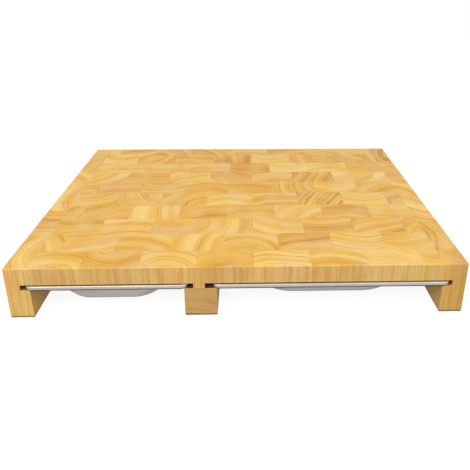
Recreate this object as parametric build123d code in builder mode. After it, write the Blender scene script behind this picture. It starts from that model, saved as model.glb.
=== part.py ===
from build123d import *
from math import hypot
import os

# Cutting board of end-grain blocks on three supports, with two sheet-steel trays
# that slide in grooves under it. Millimetres. X runs left to right, Y front to
# back and Z up. The origin is on the table, under the middle of the whole object.

# Board
BOARD_W = 480.0
BOARD_D = 360.0
BOARD_H = 60.0
DECK_T = 20.0  # wood above the trays
PANEL_T = 25.0  # each side panel
ARRIS_R = 1.5  # rounding of the upper and the upright outer edges
FOOT_ARRIS = 1.0  # bevel round the faces that stand on the table

# End-grain blocks. The deck's rows are slices off one glued-up plank, and every
# second slice is turned end for end. The first and the last of anything are trimmed.
ROWS = 10
FRONT_ROW_D = 31.4
BACK_ROW_D = 30.2
ROW_BLOCKS = 8
FIRST_BLOCK_W = 52.5
LAST_BLOCK_W = 20.5
PANEL_BLOCKS = 6
FIRST_PANEL_BLOCK_D = 64.0
LAST_PANEL_BLOCK_D = 28.0

# Middle rail, and the rib of the deck that it is glued under
RAIL_W = 34.0
RAIL_X = -40.0
RIB_W = 12.0
RIB_X = -41.5

# Grooves that carry the rims of the trays
GROOVE_H = 5.8
GROOVE_CUT = 10.0  # into each side panel
BACK_LAND = 25.0  # wood left behind the grooves, which stops the trays
RECESS_CORNER_R = 6.0

# Trays
SHEET_T = 0.8
RIM_H = 4.9
RIM_OUT = 2.0  # how far the rims stand out in front of the board
RIM_CORNER_R = 9.0
RIM_EDGE_R = 1.3  # bend at the top of the rim
HEM_T = 1.6  # rim's edge, folded double
FOLD_R = 0.75  # round of that fold
LIP_R = 2.4  # bend from the rim into the well
WELL_BEND_R = 9.0  # bend from the wall into the floor
SIDE_PLAY = 4.2
SEAT_GAP = 0.2  # rim above the groove's floor
STOP_GAP = 0.5

SMALL_SHIFT = -0.6  # how far right of the middle of its play the tray lies
SMALL_FLANGE = 7.5
SMALL_DEPTH = 29.0
SMALL_SIDE_SLOPE = 26.0  # how far the wall leans in from the lip to the floor
SMALL_END_SLOPE = 11.0
SMALL_LIP_CORNER_R = 36.0
SMALL_FLOOR_CORNER_R = 33.0

LARGE_SHIFT = 3.0
LARGE_FLANGE = 10.5
LARGE_DEPTH = 29.0
LARGE_SIDE_SLOPE = 33.0
LARGE_END_SLOPE = 15.5
LARGE_LIP_CORNER_R = 62.0
LARGE_FLOOR_CORNER_R = 48.0

# Levels and places that follow from the sizes above
DECK_Z = BOARD_H - DECK_T
FLOOR_Z = DECK_Z - GROOVE_H
DECK_W = BOARD_W - 2 * PANEL_T
LEFT, RIGHT = -BOARD_W / 2, BOARD_W / 2
FRONT, BACK = (RIM_OUT - BOARD_D) / 2, (RIM_OUT + BOARD_D) / 2
GROOVE_END_Y = BACK - BACK_LAND
SMALL_BAY = (LEFT + PANEL_T - GROOVE_CUT, RIB_X - RIB_W / 2)
LARGE_BAY = (RIB_X + RIB_W / 2, RIGHT - PANEL_T + GROOVE_CUT)
OVERRUN = 5.0  # how far a cutter passes the face that it leaves by


def joints_along(start, end, count, first, last):
    """Places of the joints from start to end: equal blocks between a trimmed first and last one."""
    whole = (end - start - first - last) / (count - 2)
    return [start] + [start + first + whole * number for number in range(count - 1)] + [end]


def box_between(x_span, y_span, z_span, mode=Mode.ADD):
    """A box between two planes each way, in the part that is being built."""
    spans = (x_span, y_span, z_span)
    with Locations(tuple(sum(span) / 2 for span in spans)):
        Box(*(span[1] - span[0] for span in spans), mode=mode)


def recess_of(bay):
    """The space milled out of the deck for one tray, with the cutter's round where it turns."""
    with BuildPart() as recess:
        box_between(bay, (FRONT - OVERRUN, GROOVE_END_Y), (FLOOR_Z - OVERRUN, DECK_Z))
        at_back = recess.edges().filter_by(Axis.Z).group_by(Axis.Y)[-1]
        at_rib = [edge for edge in at_back if abs(edge.center().X - RIB_X) < RIB_W]
        fillet(at_rib, RECESS_CORNER_R)
    return recess


def make_deck():
    """The whole glued-up deck, with a recess milled into its underside for each tray."""
    recesses = [recess_of(SMALL_BAY), recess_of(LARGE_BAY)]
    with BuildPart() as deck:
        box_between((-DECK_W / 2, DECK_W / 2), (FRONT, BACK), (FLOOR_Z, BOARD_H))
        fillet(deck.edges().filter_by(Axis.X).group_by(Axis.Z)[-1], ARRIS_R)
        for recess in recesses:
            add(recess.part, mode=Mode.SUBTRACT)
    return deck


def make_panel(side):
    """One whole side panel, side -1 at the left and 1 at the right, grooved on its inner face."""
    inner, outer = side * DECK_W / 2, side * BOARD_W / 2
    with BuildPart() as panel:
        box_between(sorted((inner, outer)), (FRONT, BACK), (0, BOARD_H))
        upright = panel.edges().filter_by(Axis.Z).group_by(Axis.X)[-1 if side > 0 else 0]
        upper = panel.edges().group_by(Axis.Z)[-1]
        glued = upper.filter_by(Axis.Y).sort_by(Axis.X)[0 if side > 0 else -1]
        fillet(upright + upper.filter_by(lambda edge: edge != glued), ARRIS_R)
        chamfer(panel.edges().group_by(Axis.Z)[0], FOOT_ARRIS)
        groove_x = sorted((inner - side * OVERRUN, inner + side * GROOVE_CUT))
        box_between(groove_x, (FRONT - OVERRUN, GROOVE_END_Y), (FLOOR_Z, DECK_Z), Mode.SUBTRACT)
    return panel


def block_of(whole, x_span, y_span):
    """The block of a whole deck or panel that lies between two joints each way."""
    with BuildPart() as block:
        add(whole.part)
        box_between(x_span, y_span, (-OVERRUN, BOARD_H + OVERRUN), Mode.INTERSECT)
    return block


def well_of(centre, top_z, lip, depth, slopes, corner_radii, shrink):
    """A tray's well as a solid, drawn in all round by the thickness called shrink."""
    leans = [shrink * hypot(slope, depth) / depth for slope in slopes]
    rise = depth - shrink
    floor = [size - 2 * slope * rise / depth for size, slope in zip(lip, slopes)]
    with BuildPart() as well:
        for z, sizes, corner_r in ((top_z, lip, corner_radii[0]), (top_z - rise, floor, corner_radii[1])):
            with BuildSketch(Plane(centre).offset(z)):
                RectangleRounded(*(size - 2 * lean for size, lean in zip(sizes, leans)), corner_r - shrink)
        loft(ruled=True)
        fillet(well.edges().group_by(Axis.Z)[0], WELL_BEND_R - shrink)
    return well


def make_tray(bay, shift, flange, depth, slopes, corner_radii):
    """A pressed tray: a flange with a turned-down, hemmed edge round a well."""
    width = bay[1] - bay[0] - 2 * SIDE_PLAY
    back = GROOVE_END_Y - STOP_GAP
    front = FRONT - RIM_OUT
    length = back - front
    centre = ((bay[0] + bay[1]) / 2 + shift, (front + back) / 2)
    rim_z = FLOOR_Z + SEAT_GAP
    top_z = rim_z + RIM_H
    lip = (width - 2 * flange, length - 2 * flange)
    outside, inside = (
        well_of(centre, top_z, lip, depth, slopes, corner_radii, shrink) for shrink in (0, SHEET_T)
    )
    with BuildPart() as tray:
        with BuildSketch(Plane(centre).offset(rim_z)):
            RectangleRounded(width, length, RIM_CORNER_R)
        extrude(amount=RIM_H)
        fillet(tray.edges().group_by(Axis.Z)[-1], RIM_EDGE_R)
        with BuildSketch(Plane(centre).offset(rim_z)):
            RectangleRounded(width - 2 * HEM_T, length - 2 * HEM_T, RIM_CORNER_R - HEM_T)
        extrude(amount=RIM_H - SHEET_T, mode=Mode.SUBTRACT)
        fillet(tray.edges().group_by(Axis.Z)[0], FOLD_R)
        add(outside.part)
        underside = tray.faces().filter_by(Axis.Z).group_by(Axis.Z)[-2].sort_by(SortBy.AREA)[-1]
        fillet(underside.inner_wires()[0].edges(), LIP_R - SHEET_T)
        add(inside.part, mode=Mode.SUBTRACT)
        upper_side = tray.faces().filter_by(Axis.Z).sort_by(Axis.Z)[-1]
        fillet(upper_side.inner_wires()[0].edges(), LIP_R)
    return tray


os.makedirs("parts", exist_ok=True)

# The deck: one node for each row of blocks
deck = make_deck()
row_joints = joints_along(FRONT, BACK, ROWS, FRONT_ROW_D, BACK_ROW_D)
block_joints = joints_along(-DECK_W / 2, DECK_W / 2, ROW_BLOCKS, FIRST_BLOCK_W, LAST_BLOCK_W)
turned_block_joints = [-x for x in reversed(block_joints)]
for number, y_span in enumerate(zip(row_joints, row_joints[1:]), start=1):
    across = block_joints if number % 2 else turned_block_joints
    blocks = [block_of(deck, x_span, y_span).part for x_span in zip(across, across[1:])]
    row = Compound(label=f"deck_row_{number:02d}", children=blocks)
    export_step(row, f"parts/{row.label}.step")

# The side panels: one node for each block. The right panel is the left one turned round.
panel_joints = joints_along(FRONT, BACK, PANEL_BLOCKS, FIRST_PANEL_BLOCK_D, LAST_PANEL_BLOCK_D)
turned_panel_joints = [FRONT + BACK - y for y in reversed(panel_joints)]
for side, name, along in ((-1, "left", panel_joints), (1, "right", turned_panel_joints)):
    panel = make_panel(side)
    x_span = sorted((side * DECK_W / 2, side * BOARD_W / 2))
    for number, y_span in enumerate(zip(along, along[1:]), start=1):
        block = block_of(panel, x_span, y_span)
        block.part.label = f"{name}_panel_block_{number}"
        export_step(block.part, f"parts/{block.part.label}.step")

# The middle rail: one stick of long grain from front to back
with BuildPart() as middle_rail:
    box_between((RAIL_X - RAIL_W / 2, RAIL_X + RAIL_W / 2), (FRONT, BACK), (0, FLOOR_Z))
    chamfer(middle_rail.edges().group_by(Axis.Z)[0], FOOT_ARRIS)
middle_rail.part.label = "middle_rail"
export_step(middle_rail.part, "parts/middle_rail.step")

# The trays
small_tray = make_tray(
    SMALL_BAY, SMALL_SHIFT, SMALL_FLANGE, SMALL_DEPTH,
    slopes=(SMALL_SIDE_SLOPE, SMALL_END_SLOPE), corner_radii=(SMALL_LIP_CORNER_R, SMALL_FLOOR_CORNER_R),
)
small_tray.part.label = "small_tray"
export_step(small_tray.part, "parts/small_tray.step")

large_tray = make_tray(
    LARGE_BAY, LARGE_SHIFT, LARGE_FLANGE, LARGE_DEPTH,
    slopes=(LARGE_SIDE_SLOPE, LARGE_END_SLOPE), corner_radii=(LARGE_LIP_CORNER_R, LARGE_FLOOR_CORNER_R),
)
large_tray.part.label = "large_tray"
export_step(large_tray.part, "parts/large_tray.step")
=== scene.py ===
import math

import bpy
from mathutils import Matrix, Vector


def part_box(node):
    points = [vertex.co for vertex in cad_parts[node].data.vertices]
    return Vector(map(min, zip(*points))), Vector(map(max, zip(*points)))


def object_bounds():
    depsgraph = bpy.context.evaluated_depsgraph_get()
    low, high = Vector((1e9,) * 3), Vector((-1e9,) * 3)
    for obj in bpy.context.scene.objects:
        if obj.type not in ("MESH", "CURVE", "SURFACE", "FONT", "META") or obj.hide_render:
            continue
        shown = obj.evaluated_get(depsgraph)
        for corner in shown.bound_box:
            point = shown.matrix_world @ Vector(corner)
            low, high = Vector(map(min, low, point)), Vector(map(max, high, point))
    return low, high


# Looks of an end-grain cutting board with two steel trays under it. Metres. The
# frame is the model's own: X to the right, Y to the back, Z up, with the origin
# on the table under the middle of the whole object.

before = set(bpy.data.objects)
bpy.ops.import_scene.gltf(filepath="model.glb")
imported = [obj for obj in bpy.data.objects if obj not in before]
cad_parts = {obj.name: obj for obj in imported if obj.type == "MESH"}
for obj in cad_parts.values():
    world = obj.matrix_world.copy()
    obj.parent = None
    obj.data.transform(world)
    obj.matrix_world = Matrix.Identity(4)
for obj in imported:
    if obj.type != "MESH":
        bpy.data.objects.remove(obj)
cad_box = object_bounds()

MM = 0.001

# The photograph is 470 pixels square. Its camera was fitted to the board's
# corners, with the lens axis off the middle of the picture.
PHOTO_PX = 470
FOCAL_PX = 508.7
LENS_AXIS_PX = (262.0, 158.0)
CAMERA_AT = Vector((7.5, -628.7, 347.6)) * MM
CAMERA_TURN = math.radians(-1.97)
CAMERA_DIP = math.radians(20.59)
CAMERA_ROLL = math.radians(0.44)
CAMERA_CLIP = (0.01, 50.0)
SENSOR_MM = 36.0


def joints_of(nodes, axis):
    """Where the glue joints between neighbouring nodes lie along one axis, ends included."""
    boxes = [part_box(node) for node in nodes]
    return [boxes[0][0][axis]] + [high[axis] for _, high in boxes]


ROWS = sorted(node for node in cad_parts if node.startswith("deck_row"))
LEFT_BLOCKS = sorted(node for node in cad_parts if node.startswith("left_panel"))
RIGHT_BLOCKS = sorted(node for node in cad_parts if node.startswith("right_panel"))

DECK_T = 20 * MM
GROOVE_FLOOR_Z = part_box("middle_rail")[1].z
GROOVE_ROOF_Z = cad_box[1].z - DECK_T

# The sticks that the deck's rows are cut from: the first and the last are trimmed
ROW_BLOCKS = 8
FIRST_BLOCK_W = 52.5 * MM
LAST_BLOCK_W = 20.5 * MM


class Nodes:
    """A node tree, built with short calls."""

    def __init__(self, tree):
        self.tree = tree

    def put(self, socket, value):
        """Set a socket to a constant, or link it to another node's output."""
        if isinstance(value, bpy.types.NodeSocket):
            self.tree.links.new(value, socket)
        else:
            socket.default_value = value

    def node(self, kind, inputs=None, **settings):
        made = self.tree.nodes.new(kind)
        for key, value in settings.items():
            setattr(made, key, value)
        for key, value in (inputs or {}).items():
            self.put(made.inputs[key], value)
        return made

    def math(self, operation, *values, clamp=False):
        made = self.node("ShaderNodeMath", operation=operation, use_clamp=clamp)
        for socket, value in zip(made.inputs, values):
            self.put(socket, value)
        return made.outputs[0]

    def add(self, first, second):
        return self.math("ADD", first, second)

    def minus(self, first, second):
        return self.math("SUBTRACT", first, second)

    def times(self, first, second):
        return self.math("MULTIPLY", first, second)

    def power(self, value, exponent):
        return self.math("POWER", value, exponent)

    def absolute(self, value):
        return self.math("ABSOLUTE", value)

    def clamped(self, value):
        return self.math("ADD", value, 0.0, clamp=True)

    def peaks(self, value, exponent):
        """What of a value is over 0, sharpened to its peaks."""
        return self.power(self.math("MAXIMUM", value, 0.0), exponent)

    def swing(self, noise, amount):
        """Noise from 0 to 1 as a push up or down, by up to half the amount."""
        return self.times(self.minus(noise, 0.5), amount)

    def distance(self, x, y):
        return self.math("SQRT", self.add(self.power(x, 2.0), self.power(y, 2.0)))

    def vector(self, x=0.0, y=0.0, z=0.0):
        return self.node("ShaderNodeCombineXYZ", {"X": x, "Y": y, "Z": z}).outputs[0]

    def parts_of(self, vector):
        return self.node("ShaderNodeSeparateXYZ", {"Vector": vector}).outputs

    def noise(self, vector, scale, detail=2.0, roughness=0.5):
        inputs = {"Vector": vector, "Scale": scale, "Detail": detail, "Roughness": roughness}
        return self.node("ShaderNodeTexNoise", inputs).outputs["Fac"]

    def noise_along(self, value, scale, detail=2.0, roughness=0.5):
        """One-dimensional noise, for bands that follow a value."""
        inputs = {"W": value, "Scale": scale, "Detail": detail, "Roughness": roughness}
        return self.node("ShaderNodeTexNoise", inputs, noise_dimensions="1D").outputs["Fac"]

    def random(self, seed, *values):
        """Three random numbers from 0 to 1 that change only where the values do."""
        made = self.node("ShaderNodeTexWhiteNoise", {"Vector": self.vector(*values, seed)})
        return self.parts_of(made.outputs["Color"])

    def ramp(self, value, low, high, to_low=0.0, to_high=1.0, smooth=False):
        limits = {"From Min": low, "From Max": high, "To Min": to_low, "To Max": to_high}
        kind = "SMOOTHSTEP" if smooth else "LINEAR"
        made = self.node("ShaderNodeMapRange", {"Value": value, **limits}, interpolation_type=kind)
        return made.outputs["Result"]

    def mix(self, share, first, second, blend="MIX"):
        made = self.node("ShaderNodeMix", data_type="RGBA", blend_type=blend)
        self.put(made.inputs["Factor"], share)
        self.put(made.inputs[6], first)
        self.put(made.inputs[7], second)
        return made.outputs[2]

    def tinted(self, share, colour, tint):
        return self.mix(share, colour, tint, blend="MULTIPLY")

    def place(self):
        """The point's place in the model's frame, in metres."""
        return self.node("ShaderNodeTexCoord").outputs["Object"]

    def facing(self):
        """The face's direction in the model's frame, as its three parts."""
        return self.parts_of(self.node("ShaderNodeTexCoord").outputs["Normal"])


class Shader(Nodes):
    """A material with one Principled shader."""

    def __init__(self, name):
        self.material = bpy.data.materials.new(name)
        self.material.use_nodes = True
        super().__init__(self.material.node_tree)
        self.bsdf = self.tree.nodes["Principled BSDF"]

    def set(self, name, value):
        self.put(self.bsdf.inputs[name], value)

    def bump(self, height, strength, distance):
        inputs = {"Height": height, "Strength": strength, "Distance": distance}
        self.set("Normal", self.node("ShaderNodeBump", inputs).outputs["Normal"])


def srgb(red, green, blue):
    """A linear colour from one written as 0 to 255 in a picture."""
    def linear(value):
        value /= 255
        return value / 12.92 if value <= 0.04045 else ((value + 0.055) / 1.055) ** 2.4
    return (linear(red), linear(green), linear(blue), 1.0)


WHITE = (1.0, 1.0, 1.0, 1.0)

# --- Wood: colours ----------------------------------------------------------

# From deep to pale, each with its place on the scale of tones
WOOD_BROWN = (0.0, srgb(198, 134, 46))
WOOD_HONEY = (0.33, srgb(226, 169, 68))
WOOD_CREAM = (0.64, srgb(240, 193, 95))
WOOD_PALE = (1.0, srgb(251, 215, 130))

WOOD_LINE = srgb(160, 100, 40)  # late lines, pores and glue
WARM_CAST = srgb(246, 190, 150)
SAP_CREAM = srgb(238, 203, 148)
OIL_YELLOW = srgb(255, 252, 214)
STREAK_BROWN = srgb(198, 162, 108)
BLUSH_PINK = srgb(255, 236, 226)
BLUSH_GREEN = srgb(248, 250, 212)
# painted shade for the panels' inner faces, which face each other under the board
INNER_FACE_SHADE = srgb(245, 178, 46)
# painted contact shade: darker towards the table over the lowest 3 mm
FOOT_SHADE = srgb(98, 74, 42)
# painted shade inside the grooves and recesses that the trays run in
GROOVE_SHADE = srgb(124, 74, 22)
RAIL_WOOD = srgb(188, 152, 110)

# A stick's long sides: their colour, and its share over that of the end grain. The right panel's
# is deepened and the rail's is a deep brown, both painted shade.
DECK_SIDE = (srgb(234, 198, 136), 0.5)
LEFT_PANEL_SIDE = (srgb(246, 208, 128), 0.62)
# deeper than the left panel's: painted shade for the key lamp falling from the left
RIGHT_PANEL_SHADED_SIDE = (srgb(222, 182, 106), 0.62)
# the rail's long faces, under the board, get a deep brown that is painted shade
RAIL_SHADED_SIDE = (srgb(132, 102, 56), 0.7)

# --- Wood: figure -----------------------------------------------------------

# Each wood's seed, and what is added to it for the later draws
DECK_SEED = 3.0
LEFT_PANEL_SEED = 11.0
RIGHT_PANEL_SEED = 23.0
RAIL_SEED = 41.0
RING_DRAW = 5.0
SHAPE_DRAW = 17.0
LOOK_DRAW = 31.0

ROW_KEY_STEP = 7.31  # from row to row, so that no two blocks share a key
KEY_SHIFT = 0.613  # moves the noise on from stick to stick

# Within a ring, from 0 where it starts to 1 where it ends
EARLY_END = 0.16
EARLY_PALE = 0.28
LATE_START = 0.10
LATE_PEAK = 0.84
STRONG_POWER = 2.5  # the higher, the fewer rings are strong
LINE_POWER = 5.0  # the higher, the thinner are the late lines

# The pith that a stick's rings turn round: how near and how far it may lie
DECK_PITHS = (28 * MM, 150 * MM)
PANEL_PITHS = (26 * MM, 100 * MM)
PITH_NEARNESS = 1.4
PITH_TURN = math.radians(88)
FLAT_SAWN_POWER = 3.0
PITH_ASIDE = 20 * MM
PITH_LEAN = 0.09

# How wide the rings are, and how noise moves them off a true circle
RING_PITCHES = (2.6 * MM, 6.8 * MM)
GRAIN_STRETCH = 0.15
WANDER_SCALE, WANDER = 24.0, 12 * MM
RIPPLE_SCALE, RIPPLE = 120.0, 1.2 * MM

# Tones on the scale from 0, deep, to 1, pale
BASE_TONE = 0.70
RING_DEPTHS = (0.10, 0.56)
DEPTH_CONTRASTS = (0.35, 1.0)
LINE_CONTRASTS = (0.3, 1.0)
STICK_SWING = 0.48
BAND_SCALE, BAND_SWING = 62.0, 0.9
FINE_SCALE, FINE_SWING = 700.0, 0.26
PATCH_SCALE, PATCH_SWING = 30.0, 0.5

LINE_SHARE = 0.26
WARM_SHARE = 0.22
CAST_SCALE = 26.0
SAP_RAMP = (0.50, 0.72, 0.0, 0.45)
OIL_RAMP = (0.50, 0.30, 0.0, 1.0)
GLUE_RAMP = (0.06 * MM, 0.22 * MM, 0.2, 0.0)


def hue_of(shader, value, lines, warm):
    """Wood colours from deep to pale, with dark late lines and a warmer cast on some sticks."""
    colours = shader.node("ShaderNodeValToRGB", {"Fac": value})
    stops = colours.color_ramp.elements
    stops[0].position, stops[0].color = WOOD_BROWN
    stops[1].position, stops[1].color = WOOD_PALE
    for place, colour in (WOOD_HONEY, WOOD_CREAM):
        stops.new(place).color = colour
    colour = shader.mix(shader.times(lines, LINE_SHARE), colours.outputs["Color"], WOOD_LINE)
    return shader.tinted(shader.times(warm, WARM_SHARE), colour, WARM_CAST)


def rings(shader, seed, key, radius, pitch):
    """Growth rings: each deepens outwards and ends in a late line, some strong and most faint."""
    phase = shader.math("DIVIDE", radius, pitch)
    number = shader.math("FLOOR", phase)
    part = shader.minus(phase, number)
    strong = shader.power(shader.random(seed + RING_DRAW, key, number)[0], STRONG_POWER)
    rise = shader.ramp(part, LATE_START, LATE_PEAK, smooth=True)
    fall = shader.ramp(part, LATE_PEAK, 1.0, 1.0, 0.0, smooth=True)
    early = shader.ramp(part, 0.0, EARLY_END, EARLY_PALE, 0.0, smooth=True)
    late = shader.minus(shader.times(rise, fall), early)
    line = shader.times(shader.peaks(late, LINE_POWER), strong)
    return late, strong, line


def pith_of(shader, along, piths, turn, reach, side, slant):
    """Where a stick's pith lies: how far aside, and how far beyond one of its wide faces."""
    # most sticks are flat-sawn, so most piths are turned little from straight beyond
    off = shader.power(shader.ramp(turn, 0.0, 1.0, -1.0, 1.0), FLAT_SAWN_POWER)
    angle = shader.times(off, PITH_TURN)
    sign = shader.ramp(shader.math("ROUND", side), 0.0, 1.0, -1.0, 1.0)
    away = shader.ramp(shader.power(reach, PITH_NEARNESS), 0.0, 1.0, *piths)
    beyond = shader.times(shader.times(shader.math("COSINE", angle), away), sign)
    aside = shader.times(shader.math("SINE", angle), shader.add(away, PITH_ASIDE))
    lean = shader.swing(slant, PITH_LEAN)
    return shader.add(aside, shader.times(along, lean)), beyond


def stick(shader, seed, ids, local, along, piths, upright=True):
    """Colour and fine figure of one stick, with rings round its own pith. The grain runs along."""
    key = shader.add(ids[0], shader.times(ids[1], ROW_KEY_STEP))
    turn, reach, tone = shader.random(seed, key)
    side, slant, warm = shader.random(seed + SHAPE_DRAW, key)
    width, contrast, _ = shader.random(seed + LOOK_DRAW, key)
    aside, beyond = pith_of(shader, along, piths, turn, reach, side, slant)
    pith = (aside, beyond) if upright else (beyond, aside)
    radius = shader.distance(*(shader.minus(at, centre) for at, centre in zip(local, pith)))

    shift = shader.times(key, KEY_SHIFT)
    spot = shader.vector(*local, shader.add(shader.times(along, GRAIN_STRETCH), shift))
    wander = shader.swing(shader.noise(spot, WANDER_SCALE, detail=1.0), WANDER)
    ripple = shader.swing(shader.noise(spot, RIPPLE_SCALE, detail=1.0), RIPPLE)
    radius = shader.add(radius, shader.add(wander, ripple))
    pitch = shader.ramp(width, 0.0, 1.0, *RING_PITCHES)
    late, strong, line = rings(shader, seed, key, radius, pitch)
    shifted = shader.add(radius, shift)
    band = shader.noise_along(shifted, BAND_SCALE, detail=1.0)
    fine = shader.noise_along(shifted, FINE_SCALE, roughness=0.6)
    patch = shader.noise(spot, PATCH_SCALE)

    depth = shader.ramp(strong, 0.0, 1.0, *RING_DEPTHS)
    depth = shader.times(depth, shader.ramp(contrast, 0.0, 1.0, *DEPTH_CONTRASTS))
    swings = ((tone, STICK_SWING), (band, BAND_SWING), (fine, FINE_SWING), (patch, PATCH_SWING))
    value = toned(shader, BASE_TONE, shader.times(late, depth), swings)
    line = shader.times(line, shader.ramp(contrast, 0.0, 1.0, *LINE_CONTRASTS))
    colour = hue_of(shader, value, line, warm)
    elsewhere = shader.vector(local[1], local[0], shader.minus(shift, along))
    cast = shader.noise(elsewhere, CAST_SCALE)
    colour = shader.mix(shader.ramp(cast, *SAP_RAMP), colour, SAP_CREAM)
    colour = shader.tinted(shader.ramp(cast, *OIL_RAMP), colour, OIL_YELLOW)
    return colour, fine


def toned(shader, base, ring, swings):
    """A place on the scale of tones: the base, less the rings' depth, pushed about by noise."""
    value = shader.minus(base, ring)
    for noise, amount in swings:
        value = shader.add(value, shader.swing(noise, amount))
    return shader.clamped(value)


def glued(shader, colour, joint):
    """A thin glue line where the sticks meet."""
    return shader.mix(shader.ramp(joint, *GLUE_RAMP), colour, WOOD_LINE)


# --- Wood: surface ----------------------------------------------------------

PORE_SCALE, PORE_STRETCH = 1300.0, 0.04
PORE_RAMP = (0.60, 0.72)
PORE_SHARE = 0.15
STREAK_SCALE, STREAK_STRETCH = 330.0, 0.03
STREAK_RAMP = (0.32, 0.56)
STREAK_SHARE = 0.45
BLUSH_SCALE = 42.0
PINK_RAMP = (0.50, 0.64, 0.0, 0.65)
GREEN_RAMP = (0.50, 0.36, 0.0, 0.65)
# how much painted shade the panels' inner faces take
INNER_SHADE_SHARE = 0.7
# heights over which the painted contact shade fades out
FOOT_SHADE_RAMP = (1.5 * MM, 3.0 * MM, 0.9, 0.0)
# how much painted shade the grooves take
GROOVE_SHADE_SHARE = 0.85
PORES_IN_ROUGHNESS = 0.5
WOOD_ROUGHNESS = (0.2, 1.2, 0.44, 0.64)
WOOD_SPECULAR = 0.3
FINE_IN_HEIGHT = 0.35
WOOD_BUMP = (0.2, 0.1 * MM)
FACE_RAMP = (0.5, 0.9)  # how squarely a face looks one way, before it counts as that side


def drawn_out(shader, grain_place, stretch):
    """A place for noise that is drawn out along the grain, which is the third axis."""
    x, y, z = shader.parts_of(grain_place)
    return shader.vector(x, y, shader.times(z, stretch))


def long_grain(shader, colour, grain_place, side_look):
    """What only a stick's long sides show: their given colour, which paints shade on the rail and
    the right panel, fine fibre streaks, a soft blush.
    """
    side_colour, side_share = side_look
    streaks = drawn_out(shader, grain_place, STREAK_STRETCH)
    streaks = shader.noise(streaks, STREAK_SCALE, detail=3.0, roughness=0.6)
    streaked = shader.mix(shader.ramp(streaks, *STREAK_RAMP), STREAK_BROWN, WHITE)
    colour = shader.mix(side_share, colour, side_colour)
    colour = shader.tinted(STREAK_SHARE, colour, streaked)
    blush = shader.noise(grain_place, BLUSH_SCALE)
    colour = shader.tinted(shader.ramp(blush, *PINK_RAMP), colour, BLUSH_PINK)
    return shader.tinted(shader.ramp(blush, *GREEN_RAMP), colour, BLUSH_GREEN)


def finish_wood(shader, wood, grain_place, side, side_look, groove, inner=None, foot=None):
    """Oiled wood. End grain drinks more oil than the long sides of a stick do."""
    colour, fine = wood
    # pores are dots on end grain and short dashes along the grain
    pores = shader.noise(drawn_out(shader, grain_place, PORE_STRETCH), PORE_SCALE)
    pores = shader.ramp(pores, *PORE_RAMP, smooth=True)
    colour = shader.mix(shader.times(pores, PORE_SHARE), colour, WOOD_LINE)
    colour = shader.mix(side, colour, long_grain(shader, colour, grain_place, side_look))
    # painted shade on the faces that look inward, towards the other panel
    if inner is not None:
        colour = shader.mix(shader.times(inner, INNER_SHADE_SHARE), colour, INNER_FACE_SHADE)
    # painted contact shade, darker towards the table
    if foot is not None:
        colour = shader.tinted(shader.ramp(foot, *FOOT_SHADE_RAMP), colour, FOOT_SHADE)
    # painted shade inside the grooves and recesses, and on the rail's top face
    colour = shader.tinted(shader.times(groove, GROOVE_SHADE_SHARE), colour, GROOVE_SHADE)
    shader.set("Base Color", colour)
    dry = shader.add(fine, shader.times(pores, PORES_IN_ROUGHNESS))
    shader.set("Roughness", shader.ramp(dry, *WOOD_ROUGHNESS))
    shader.set("Specular IOR Level", WOOD_SPECULAR)
    shader.bump(shader.minus(shader.times(fine, FINE_IN_HEIGHT), pores), *WOOD_BUMP)


# --- Wood: the board's parts ------------------------------------------------

FACE_SKIN = 0.1 * MM  # by which a test takes in the faces that lie on its limit
FRONT_SKIN = 0.05 * MM
OUTER_WOOD = 5 * MM  # less than the wood between any groove and the outside


def nearest_joint(shader, value, low, pitch):
    """How far a place is from the nearest of evenly spaced joints."""
    steps = shader.math("DIVIDE", shader.minus(value, low), pitch)
    off = shader.absolute(shader.minus(steps, shader.math("ROUND", steps)))
    return shader.times(off, pitch)


def cell_of(shader, value, low, pitch):
    """Number of the block that a place lies in, and how far the place is from its middle."""
    number = shader.math("FLOOR", shader.math("DIVIDE", shader.minus(value, low), pitch))
    middle = shader.add(low, shader.times(shader.add(number, 0.5), pitch))
    return number, shader.minus(value, middle)


def side_of(shader, end_facing):
    """1 on a stick's long sides and 0 on its ends, which face along the grain."""
    return shader.math("SUBTRACT", 1.0, shader.absolute(end_facing), clamp=True)


def in_groove(shader, place):
    """1 inside the grooves and recesses that the trays run in, 0 on the outer faces."""
    x, y, z = shader.parts_of(place)
    inside = shader.math("GREATER_THAN", z, GROOVE_FLOOR_Z - FACE_SKIN)
    for side, value, limit in (
        ("LESS_THAN", z, GROOVE_ROOF_Z + FACE_SKIN),
        ("GREATER_THAN", y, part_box(ROWS[0])[0].y + FRONT_SKIN),
        ("LESS_THAN", y, cad_box[1].y - OUTER_WOOD),
        ("GREATER_THAN", x, cad_box[0].x + OUTER_WOOD),
        ("LESS_THAN", x, cad_box[1].x - OUTER_WOOD),
    ):
        inside = shader.times(inside, shader.math(side, value, limit))
    return inside


def deck_wood(name):
    """Wood for the deck: rows of blocks, with every second row turned end for end."""
    shader = Shader(name)
    place = shader.place()
    x, y, z = shader.parts_of(place)
    row_joints = joints_of(ROWS, 1)
    depth = row_joints[2] - row_joints[1]
    low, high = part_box(ROWS[0])
    width = (high.x - low.x - FIRST_BLOCK_W - LAST_BLOCK_W) / (ROW_BLOCKS - 2)
    row, local_y = cell_of(shader, y, row_joints[1], depth)
    turned = shader.math("FLOORED_MODULO", row, 2.0)
    start = shader.ramp(turned, 0.0, 1.0, low.x + LAST_BLOCK_W, low.x + FIRST_BLOCK_W)
    column, local_x = cell_of(shader, x, start, width)
    beside = nearest_joint(shader, x, start, width)
    behind = nearest_joint(shader, y, row_joints[1], depth)
    colour, fine = stick(shader, DECK_SEED, (column, row), (local_x, local_y), z, DECK_PITHS)
    colour = glued(shader, colour, shader.math("MINIMUM", beside, behind))
    side = side_of(shader, shader.facing()[2])
    groove = in_groove(shader, place)
    finish_wood(shader, (colour, fine), place, side, DECK_SIDE, groove)
    return shader.material


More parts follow.
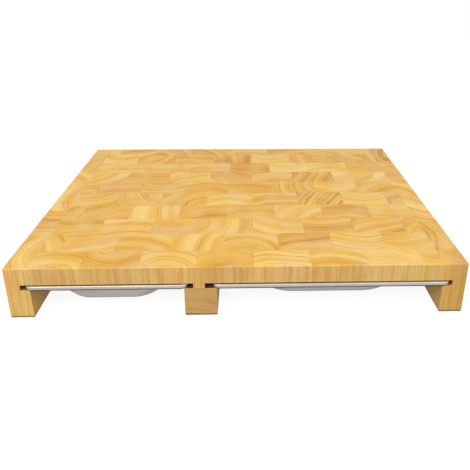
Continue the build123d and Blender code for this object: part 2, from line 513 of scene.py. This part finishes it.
def panel_wood(name, seed, nodes, inward, side_look):
    """Wood for a side panel: the blocks' grain is upright there too, with painted shade on the
    inner face.
    """
    shader = Shader(name)
    place = shader.place()
    x, y, z = shader.parts_of(place)
    joints = joints_of(nodes, 1)
    depth = joints[2] - joints[1]
    row, local_y = cell_of(shader, y, joints[1], depth)
    low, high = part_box(nodes[0])
    local = (shader.minus(x, (low.x + high.x) / 2), local_y)
    colour, fine = stick(shader, seed, (0.0, row), local, z, PANEL_PITHS, upright=False)
    colour = glued(shader, colour, nearest_joint(shader, y, joints[1], depth))
    face_x, _, face_z = shader.facing()
    side = side_of(shader, face_z)
    inner = shader.ramp(shader.times(face_x, inward), *FACE_RAMP)
    groove = in_groove(shader, place)
    finish_wood(shader, (colour, fine), place, side, side_look, groove, inner, foot=z)
    return shader.material


# The middle rail's own figure, with its pith measured from its middle
RAIL_PITH = (-16 * MM, -74 * MM)
RAIL_PITH_FALL = 0.02
RAIL_KEY = 8.0
RAIL_RING_PITCH = 3.0 * MM
RAIL_WANDER_SCALE, RAIL_WANDER = 40.0, 5 * MM
RAIL_FINE_SCALE, RAIL_FINE_SWING = 800.0, 0.25
RAIL_PATCH_SCALE, RAIL_PATCH_SWING = 60.0, 0.9
RAIL_BASE_TONE = 0.58
RAIL_RING_DEPTHS = (0.08, 0.7)
RAIL_LINE_POWER = 8.0
RAIL_LINE_RAMP = (0.0, 0.5, 0.35, 1.4)
RAIL_WARMTH = 0.4
RAIL_WOOD_SHARE = 0.5


def rail_wood(name):
    """Wood for the middle rail: long grain from front to back, rings on its ends."""
    shader = Shader(name)
    x, y, z = shader.parts_of(shader.place())
    low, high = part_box("middle_rail")
    middle = (low + high) / 2
    across, up = shader.minus(x, middle.x), shader.minus(z, middle.z)
    above_pith = shader.minus(up, RAIL_PITH[1])
    above_pith = shader.add(above_pith, shader.times(y, RAIL_PITH_FALL))
    radius = shader.distance(shader.minus(across, RAIL_PITH[0]), above_pith)
    spot = shader.vector(across, up, shader.times(y, GRAIN_STRETCH))
    wander = shader.noise(spot, RAIL_WANDER_SCALE, detail=1.0)
    radius = shader.add(radius, shader.swing(wander, RAIL_WANDER))
    late, strong, line = rings(shader, RAIL_SEED, RAIL_KEY, radius, RAIL_RING_PITCH)
    fine = shader.noise_along(radius, RAIL_FINE_SCALE)
    patch = shader.noise(spot, RAIL_PATCH_SCALE)
    depth = shader.ramp(strong, 0.0, 1.0, *RAIL_RING_DEPTHS)
    swings = ((fine, RAIL_FINE_SWING), (patch, RAIL_PATCH_SWING))
    value = toned(shader, RAIL_BASE_TONE, shader.times(late, depth), swings)
    dark = shader.times(shader.peaks(late, RAIL_LINE_POWER), shader.ramp(strong, *RAIL_LINE_RAMP))
    colour = hue_of(shader, value, shader.math("MAXIMUM", line, dark), RAIL_WARMTH)
    colour = shader.mix(RAIL_WOOD_SHARE, colour, RAIL_WOOD)
    _, face_y, face_z = shader.facing()
    side = side_of(shader, face_y)
    # the rail's top face lies in the groove and takes the grooves' painted shade
    upper = shader.ramp(face_z, *FACE_RAMP)
    grain_place = shader.vector(across, up, y)
    finish_wood(shader, (colour, fine), grain_place, side, RAIL_SHADED_SIDE, upper, foot=z)
    return shader.material


# --- Steel ------------------------------------------------------------------

STEEL_PALE = srgb(192, 186, 178)
STEEL_GREY = srgb(178, 172, 164)
# painted shade on faces turned down, such as the wells' outer walls
DOWNWARD_SHADE = srgb(168, 163, 155)
# painted shade on the underside
UNDER_SHADE = srgb(110, 106, 99)
# painted shadow along the folded lower edge of each rim
HEM_SHADOW = srgb(58, 53, 46)
GRAIN_SCALE, GRAIN_DRAW = 2600.0, 0.02
CLOUD_SCALE = 26.0
DOWNWARD_SHADE_RAMP = (0.12, 0.45)  # by how squarely a face looks down
UNDER_SHADE_RAMP = (0.46, 0.76)
HEM_INWARD = (1.6 * MM, 2.2 * MM)
HEM_UPWARD = (1.3 * MM, 2.0 * MM)
# how far the painted shade underneath takes the metal away
UNDER_SHADE_DULLNESS = 0.5
METAL_RAMP = (0.0, 1.0, 1.0, 0.25)
GRAIN_ROUGHNESS = (0.3, 0.7, 0.35, 0.47)
CLOUD_ROUGHNESS = (0.3, 0.7, -0.03, 0.03)
STEEL_BUMP = (0.08, 0.05 * MM)


def hem_of(shader, place, node):
    """1 on the folded lower edge of a tray's rim, 0 elsewhere."""
    low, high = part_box(node)
    middle, half = (low + high) / 2, (high - low) / 2
    x, y, z = shader.parts_of(place)
    to_edge = [
        shader.minus(half[axis], shader.absolute(shader.minus(value, middle[axis])))
        for axis, value in enumerate((x, y))
    ]
    at_edge = shader.ramp(shader.math("MINIMUM", *to_edge), *HEM_INWARD, 1.0, 0.0)
    tops = [GROOVE_FLOOR_Z + top for top in HEM_UPWARD]
    return shader.times(shader.ramp(z, *tops, 1.0, 0.0), at_edge)


def tray_steel(name, node):
    """Pressed stainless sheet with a fine satin grain, with painted shade on faces turned down and
    underneath, and a painted shadow along the hem.
    """
    shader = Shader(name)
    place = shader.place()
    x, y, z = shader.parts_of(place)
    grain = shader.noise(shader.vector(x, shader.times(y, GRAIN_DRAW), z), GRAIN_SCALE)
    cloud = shader.noise(place, CLOUD_SCALE, detail=3.0)
    down = shader.times(shader.facing()[2], -1.0)
    under = shader.ramp(down, *UNDER_SHADE_RAMP)
    hem = hem_of(shader, place, node)
    colour = shader.mix(cloud, STEEL_PALE, STEEL_GREY)
    # painted shade on faces turned down
    colour = shader.mix(shader.ramp(down, *DOWNWARD_SHADE_RAMP), colour, DOWNWARD_SHADE)
    # painted shade on the underside
    colour = shader.mix(under, colour, UNDER_SHADE)
    # painted shadow along the hem
    shader.set("Base Color", shader.mix(hem, colour, HEM_SHADOW))
    # less metal where shade and the hem's shadow are painted, so that these faces do not mirror
    # the white floor
    painted_dark = shader.math("MAXIMUM", hem, shader.times(under, UNDER_SHADE_DULLNESS))
    shader.set("Metallic", shader.ramp(painted_dark, *METAL_RAMP))
    rough = shader.add(shader.ramp(grain, *GRAIN_ROUGHNESS), shader.ramp(cloud, *CLOUD_ROUGHNESS))
    shader.set("Roughness", rough)
    shader.bump(grain, *STEEL_BUMP)
    return shader.material


def dress(nodes, material):
    """Give every slot of these nodes one material."""
    for node in nodes:
        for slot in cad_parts[node].material_slots:
            slot.material = material


dress(ROWS, deck_wood("deck_end_grain"))
dress(LEFT_BLOCKS, panel_wood(
    "left_panel_end_grain", LEFT_PANEL_SEED, LEFT_BLOCKS, 1.0, LEFT_PANEL_SIDE))
dress(RIGHT_BLOCKS, panel_wood(
    "right_panel_end_grain", RIGHT_PANEL_SEED, RIGHT_BLOCKS, -1.0, RIGHT_PANEL_SHADED_SIDE))
dress(["middle_rail"], rail_wood("rail_long_grain"))
for tray in ("small_tray", "large_tray"):
    dress([tray], tray_steel(f"{tray}_satin_steel", tray))


# --- Stage, light and camera ------------------------------------------------

FLOOR_SIZE = 12.0
FLOOR_Z = -0.1 * MM  # just clear of the feet, so that their undersides stay whole from below
FLOOR_GLOW = 0.90
FLOOR_COLOUR = (0.20, 0.20, 0.20, 1.0)
FLOOR_ROUGHNESS = 0.9
SKY_SEEN = 1.0
SKY_LIGHT = 0.55

# Each lamp's name, place, size and watts
LAMPS = (
    ("key", (-0.8, -1.5, 1.5), (1.4, 1.0), 23.0),
    ("fill", (1.1, -1.6, 1.3), (1.4, 1.4), 12.0),
)


def seen_or_lit(nodes, seen, lit):
    """A value for what the camera sees and metal mirrors, another for the light on things."""
    path = nodes.node("ShaderNodeLightPath").outputs
    shows = nodes.math("MAXIMUM", path["Is Camera Ray"], path["Is Glossy Ray"])
    shows = nodes.math("MAXIMUM", shows, path["Is Transmission Ray"])
    return nodes.ramp(shows, 0.0, 1.0, lit, seen)


def make_floor():
    bpy.ops.mesh.primitive_plane_add(size=FLOOR_SIZE, location=(0, 0, FLOOR_Z))
    floor = bpy.context.object
    floor.name = "floor"
    shader = Shader("floor_white")
    shader.set("Base Color", FLOOR_COLOUR)
    shader.set("Roughness", FLOOR_ROUGHNESS)
    shader.set("Specular IOR Level", 0.0)
    shader.set("Emission Color", WHITE)
    shader.set("Emission Strength", seen_or_lit(shader, FLOOR_GLOW, 0.0))
    floor.data.materials.append(shader.material)


def make_world():
    world = bpy.data.worlds.new("studio")
    bpy.context.scene.world = world
    world.use_nodes = True
    nodes = Nodes(world.node_tree)
    background = world.node_tree.nodes["Background"]
    nodes.put(background.inputs["Strength"], seen_or_lit(nodes, SKY_SEEN, SKY_LIGHT))
    nodes.put(background.inputs["Color"], WHITE)


def make_lamp(name, at, size, watts):
    data = bpy.data.lights.new(name, "AREA")
    data.shape = "RECTANGLE"
    data.size, data.size_y = size
    data.energy = watts
    lamp = bpy.data.objects.new(name, data)
    bpy.context.scene.collection.objects.link(lamp)
    lamp.location = at
    lamp.rotation_mode = "QUATERNION"
    lamp.rotation_quaternion = (-Vector(at)).to_track_quat("-Z", "Y")


def make_camera():
    data = bpy.data.cameras.new("camera")
    data.sensor_width = SENSOR_MM
    data.lens = FOCAL_PX / PHOTO_PX * SENSOR_MM
    data.shift_x = 0.5 - LENS_AXIS_PX[0] / PHOTO_PX
    data.shift_y = LENS_AXIS_PX[1] / PHOTO_PX - 0.5
    data.clip_start, data.clip_end = CAMERA_CLIP
    camera = bpy.data.objects.new("camera", data)
    bpy.context.scene.collection.objects.link(camera)
    up_right = Matrix.Rotation(math.pi / 2 - CAMERA_DIP, 4, "X")
    turn = Matrix.Rotation(CAMERA_TURN, 4, "Z")
    roll = Matrix.Rotation(CAMERA_ROLL, 4, "Z")
    camera.matrix_world = Matrix.Translation(CAMERA_AT) @ turn @ up_right @ roll
    bpy.context.scene.camera = camera


make_floor()
make_world()
for lamp in LAMPS:
    make_lamp(*lamp)
make_camera()

scene = bpy.context.scene
scene.view_settings.view_transform = "Standard"
